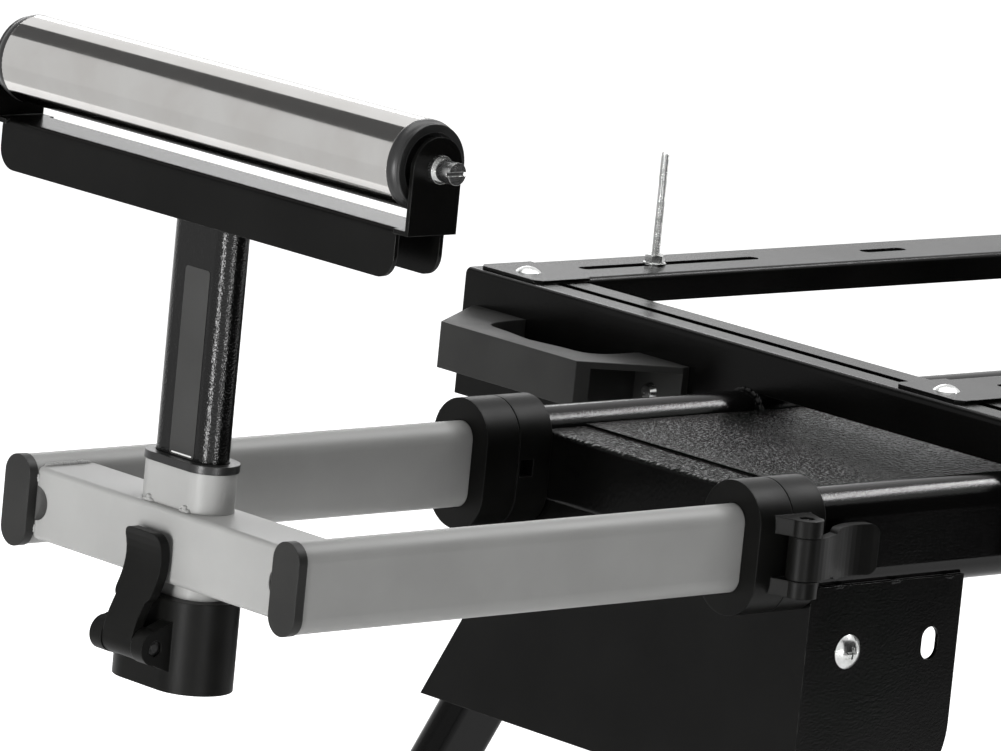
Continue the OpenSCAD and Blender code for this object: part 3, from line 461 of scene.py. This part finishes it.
# Scale strip on the outer face of each roller post, with a plain limit line at its foot
scaleStrip = {
    "width": 0.020, "length": 0.1025, "aboveCollar": 0.0004, "offCentre": -0.0024,
    "thickness": 0.00022, "corner": 0.002, "cornerSteps": 6,
    "lineWidth": 0.0165, "lineHeight": 0.0009, "lineAbove": 0.0010, "lineThickness": 0.00006,
    "lineCorner": 0.0003, "lineCornerSteps": 2,
}


def plateRings(face, outward, middle, low, width, height, corner, steps, thickness):
    outline = []
    quarters = ((1, 1, 0), (-1, 1, 90), (-1, -1, 180), (1, -1, 270))
    for across, up, startTurn in quarters:
        for step in range(steps + 1):
            turn = math.radians(startTurn + 90 * step / steps)
            y = middle + across * (width / 2 - corner) + corner * math.cos(turn)
            z = low + height / 2 + up * (height / 2 - corner) + corner * math.sin(turn)
            outline.append((y, z))
    return [[(face + outward * reach, y, z) for y, z in outline] for reach in (0.0, thickness)]


def makeScaleStrip(side, outward, look):
    low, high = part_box(side + "_post")
    face = low.x if outward < 0 else high.x
    middle = (low.y + high.y) / 2 + look["offCentre"]
    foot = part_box(side + "_post_collar")[1].z + look["aboveCollar"]
    body = side + "_post_set"
    addLofts(side + "_scale_strip", body, "stripFilm", [
        plateRings(face, outward, middle, foot, look["width"], look["length"], look["corner"],
                   look["cornerSteps"], look["thickness"]),
    ])
    addLofts(side + "_limit_line", body, "stripInk", [
        plateRings(face + outward * look["thickness"], outward, middle, foot + look["lineAbove"],
                   look["lineWidth"], look["lineHeight"], look["lineCorner"],
                   look["lineCornerSteps"], look["lineThickness"]),
    ])


for side, outward in zip(sides, (-1, 1)):
    makeScaleStrip(side, outward, scaleStrip)
print("scale strips on")


# Weld beads: a line of small overlapping ripples that wanders a little
weld = {
    "radius": 0.0019, "spacing": 0.00035, "steps": 12, "fewestRings": 4,
    "ripple": 0.0017, "rippleDepth": 0.20, "unevenness": 0.16,
    "wander": 0.0003, "wanderAdded": 0.4, "wanderKept": 0.8,
    "endShare": 0.04, "endPower": 6, "smoothAngle": 60,
    "cornerIn": 0.0035, "notchClear": 0.0115, "notchShare": 0.7,
    "tackLength": 0.0035, "tackHalf": 0.004, "sleeveFlat": 0.0150,
    "bracketTacks": (0.18, 0.55, 0.90), "bracketShare": 0.8, "bracketIn": 0.6, "flankHeight": 0.09,
    "tubeWidth": 0.030, "archStitches": 10, "archRadius": 0.0018, "archClear": 0.0006,
}


def weldRings(start, end, look, chance, radius=None):
    radius = radius or look["radius"]
    along = end - start
    length = along.length
    along.normalize()
    side = along.orthogonal().normalized()
    up = along.cross(side)
    count = max(look["fewestRings"], round(length / look["spacing"]))
    sway = Vector((0, 0, 0))
    rings = []
    for ring in range(count + 1):
        share = ring / count
        drift = Vector([chance.uniform(-1, 1) for axis in range(3)])
        sway = sway * look["wanderKept"] + drift * look["wander"] * look["wanderAdded"]
        closing = math.sqrt(max(look["endShare"], 1 - (2 * share - 1) ** look["endPower"]))
        crest = abs(math.sin(math.pi * share * length / look["ripple"]))
        ripple = 1 - look["rippleDepth"] + look["rippleDepth"] * crest
        ring = []
        for step in range(look["steps"]):
            turn = 2 * math.pi * step / look["steps"]
            reach = radius * closing * ripple * (1 + look["unevenness"] * chance.uniform(-0.5, 0.5))
            ring.append(start + along * length * share + sway
                        + (side * math.cos(turn) + up * math.sin(turn)) * reach)
        rings.append(ring)
    return rings


# On each arm set: round the ends of the cross beam, and short tacks at the foot of the sleeve
def armWelds(side, look, chance):
    low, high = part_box(side + "_cross_beam")
    middleY, middleZ = (low.y + high.y) / 2, (low.z + high.z) / 2
    sleeveLow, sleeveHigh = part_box(side + "_post_sleeve")
    beads = []
    for y in (low.y, high.y):
        for z in (low.z, high.z):
            start = Vector((low.x + look["cornerIn"], y, z))
            end = Vector((high.x - look["cornerIn"], y, z))
            beads.append(weldRings(start, end, look, chance))
        for x in (low.x, high.x):
            for edge, towards in ((low.z, -1), (high.z, 1)):
                start = Vector((x, y, edge - towards * look["cornerIn"]))
                end = Vector((x, y, middleZ + towards * look["notchClear"]))
                thin = look["radius"] * look["notchShare"]
                beads.append(weldRings(start, end, look, chance, thin))
    for x in (sleeveLow.x, sleeveHigh.x):
        for towards in (-1, 1):
            y = middleY + towards * look["sleeveFlat"]
            start = Vector((x, y - look["tackHalf"], high.z))
            end = Vector((x, y + look["tackHalf"], high.z))
            top = Vector((x, y, high.z + look["tackLength"]))
            beads.append(weldRings(start, end, look, chance))
            beads.append(weldRings(Vector((x, y, high.z)), top, look, chance))
    addLofts(side + "_arm_welds", side + "_arm", "satinGrey", beads,
             look["smoothAngle"])


# On the frame: up the cross tubes' corners, over the main tubes at the end plates, and tacks
# along the top of each leg bracket
def frameWelds(look, chance):
    beads = []
    low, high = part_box("cross_members")
    tubesLow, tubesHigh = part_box("main_tubes")
    for x in (low.x, high.x):
        for y in (low.y, high.y):
            start = Vector((x, y, low.z + look["cornerIn"]))
            end = Vector((x, y, high.z - look["cornerIn"]))
            beads.append(weldRings(start, end, look, chance))
    tubeHalf = look["tubeWidth"] / 2
    reach = tubeHalf + look["archClear"]
    for side, outward in zip(sides, (-1, 1)):
        plateLow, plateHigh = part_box(side + "_end_plate")
        face = plateLow.x if outward < 0 else plateHigh.x
        for middle in (tubesLow.y + tubeHalf, tubesHigh.y - tubeHalf):
            stitches = []
            for stitch in range(look["archStitches"] + 1):
                turn = math.pi * stitch / look["archStitches"]
                y = middle + reach * math.cos(turn)
                z = tubesHigh.z - tubeHalf + reach * math.sin(turn)
                stitches.append(Vector((face, y, z)))
            for start, end in zip(stitches, stitches[1:]):
                beads.append(weldRings(start, end, look, chance, look["archRadius"]))
    for side in sides:
        bracketLow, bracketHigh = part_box(side + "_leg_bracket")
        front = bracketLow.y + look["radius"] * look["bracketIn"]
        flank = tubesLow.z + (tubesHigh.z - tubesLow.z) * look["flankHeight"]
        for share in look["bracketTacks"]:
            x = bracketLow.x + (bracketHigh.x - bracketLow.x) * share
            start = Vector((x - look["tackHalf"], front, flank))
            end = Vector((x + look["tackHalf"], front, flank))
            small = look["radius"] * look["bracketShare"]
            beads.append(weldRings(start, end, look, chance, small))
    addLofts("frame_welds", "frame", "glossPaint", beads, look["smoothAngle"])


weldChance = Random(11)
for side in sides:
    armWelds(side, weld, weldChance)
frameWelds(weld, weldChance)
print("weld beads laid")


# Studio: a white background, and a floor that keeps the shadow and glows to white further out
studio = {
    "white": (1, 1, 1, 1),
    "floorColour": (0.80, 0.80, 0.80, 1),
    "floorSize": (30.0, 30.0),
    "fillStrength": 0.14,
    "shadowDepth": 0.6,
    "glowFrom": 1.2,
    "glowTo": 2.4,
}


def seenBy(tree, *rays):
    path = addNode(tree, "LightPath").outputs
    seen = path[rays[0]]
    for ray in rays[1:]:
        seen = reckon(tree, "MAXIMUM", seen, path[ray])
    return seen


def finishTree(tree, kind, shader):
    out = addNode(tree, kind)
    tree.links.new(shader.outputs[0], out.inputs["Surface"])


def flatSheet(name, size, material):
    wide, high = size[0] / 2, size[1] / 2
    mesh = bpy.data.meshes.new(name)
    corners = [(-wide, -high, 0), (wide, -high, 0), (wide, high, 0), (-wide, high, 0)]
    mesh.from_pydata(corners, [], [(0, 1, 2, 3)])
    mesh.materials.append(material)
    sheet = bpy.data.objects.new(name, mesh)
    scene.collection.objects.link(sheet)
    return sheet


def emptyMaterial(name):
    material = bpy.data.materials.new(name)
    material.use_nodes = True
    material.node_tree.nodes.clear()
    return material, material.node_tree


def makeWorld(look):
    world = bpy.data.worlds.new("studio_world")
    world.use_nodes = True
    tree = world.node_tree
    tree.nodes.clear()
    seen = seenBy(tree, "Is Camera Ray", "Is Glossy Ray", "Is Transmission Ray")
    strength = ramp(tree, seen, 0, 1, look["fillStrength"], 1.0)
    back = addNode(tree, "Background", {"Color": look["white"], "Strength": strength})
    finishTree(tree, "OutputWorld", back)
    scene.world = world


def makeFloor(look):
    material, tree = emptyMaterial("studio_floor")
    seen = seenBy(tree, "Is Camera Ray", "Is Glossy Ray")
    matt = addNode(tree, "BsdfDiffuse", {"Color": look["floorColour"]})
    place = addNode(tree, "NewGeometry").outputs["Position"]
    away = addNode(tree, "VectorMath", {0: place}, operation="LENGTH").outputs["Value"]
    strength = ramp(tree, away, look["glowFrom"], look["glowTo"], 1 - look["shadowDepth"])
    glow = addNode(tree, "Emission", {"Color": look["white"], "Strength": strength})
    lit = addNode(tree, "AddShader", {0: matt.outputs[0], 1: glow.outputs[0]})
    both = addNode(tree, "MixShader", {0: seen, 1: matt.outputs[0], 2: lit.outputs[0]})
    finishTree(tree, "OutputMaterial", both)
    floor = flatSheet("studio_floor", look["floorSize"], material)


# Soft lamps. One with gloss False lights the paint without showing in it.
lamps = {
    "overhead": {
        "place": (0.1, 0.2, 3.6), "aim": (0, 0.1, 0.8), "size": (3.2, 2.2), "power": 54,
    },
    "left_wall": {
        "place": (-4.1, -0.35, 0.9), "aim": (-0.5, -0.1, 0.8), "size": (1.5, 1.5), "power": 56,
        "gloss": False,
    },
    "post_streak": {
        "place": (-3.6, -0.80, 0.5), "aim": (-0.85, -0.18, 0.9), "size": (0.42, 1.0), "power": 38,
    },
    "front_low": {
        "place": (-1.9, -4.1, 0.45), "aim": (-0.6, 0, 0.85), "size": (0.6, 0.6), "power": 25,
    },
    "back_strip": {
        "place": (1.6, 3.6, 2.4), "aim": (0, 0, 0.9), "size": (2.6, 0.7), "power": 20,
    },
    "tube_streak": {
        "place": (2.2, -0.8, 3.5), "aim": (-0.3, 0, 0.8), "size": (2.6, 0.16), "power": 45,
    },
}
# Cards that only the gloss sees: how bright each one looks is its tone.
# The one on the floor leans a hair, so that its long side has a settled direction.
cards = {
    "roller_flag": {
        "place": (-2.6, 3.2, 4.4), "faces": (0, -1, 0), "size": (4.4, 2.2), "tone": 0.10,
    },
    "roller_wall": {
        "place": (-5.0, 3.0, 1.65), "faces": (0, -1, 0), "size": (5.4, 3.3), "tone": 0.74,
    },
    "front_flag": {
        "place": (2.4, -2.3, 1.4), "faces": (0, 1, 0), "size": (6.4, 2.8), "tone": 0.03,
    },
    "floor_card": {
        "place": (-3.15, 1.5, 0.01), "faces": (0, 0.001, 1), "size": (3.7, 3.2), "tone": 0.70,
    },
}
cardHiddenFrom = ("camera", "diffuse", "shadow", "transmission", "volume_scatter")


def aimed(place, along):
    turn = Vector(along).to_track_quat("-Z", "Y").to_matrix().to_4x4()
    return Matrix.Translation(place) @ turn


def makeLamps(group):
    for name, look in group.items():
        data = bpy.data.lights.new(name, "AREA")
        data.shape = "RECTANGLE"
        data.size, data.size_y = look["size"]
        data.energy = look["power"]
        lamp = bpy.data.objects.new(name, data)
        lamp.matrix_world = aimed(look["place"], Vector(look["aim"]) - Vector(look["place"]))
        lamp.visible_camera = False
        lamp.visible_glossy = look.get("gloss", True)
        scene.collection.objects.link(lamp)


def makeCards(group):
    for name, look in group.items():
        material, tree = emptyMaterial(name)
        glow = addNode(tree, "Emission", {"Color": studio["white"], "Strength": look["tone"]})
        finishTree(tree, "OutputMaterial", glow)
        card = flatSheet(name, look["size"], material)
        card.matrix_world = aimed(look["place"], look["faces"])
        for ray in cardHiddenFrom:
            setattr(card, "visible_" + ray, False)


scene.view_settings.view_transform = "Standard"
makeWorld(studio)
makeFloor(studio)
makeLamps(lamps)
makeCards(cards)
print("studio lit")
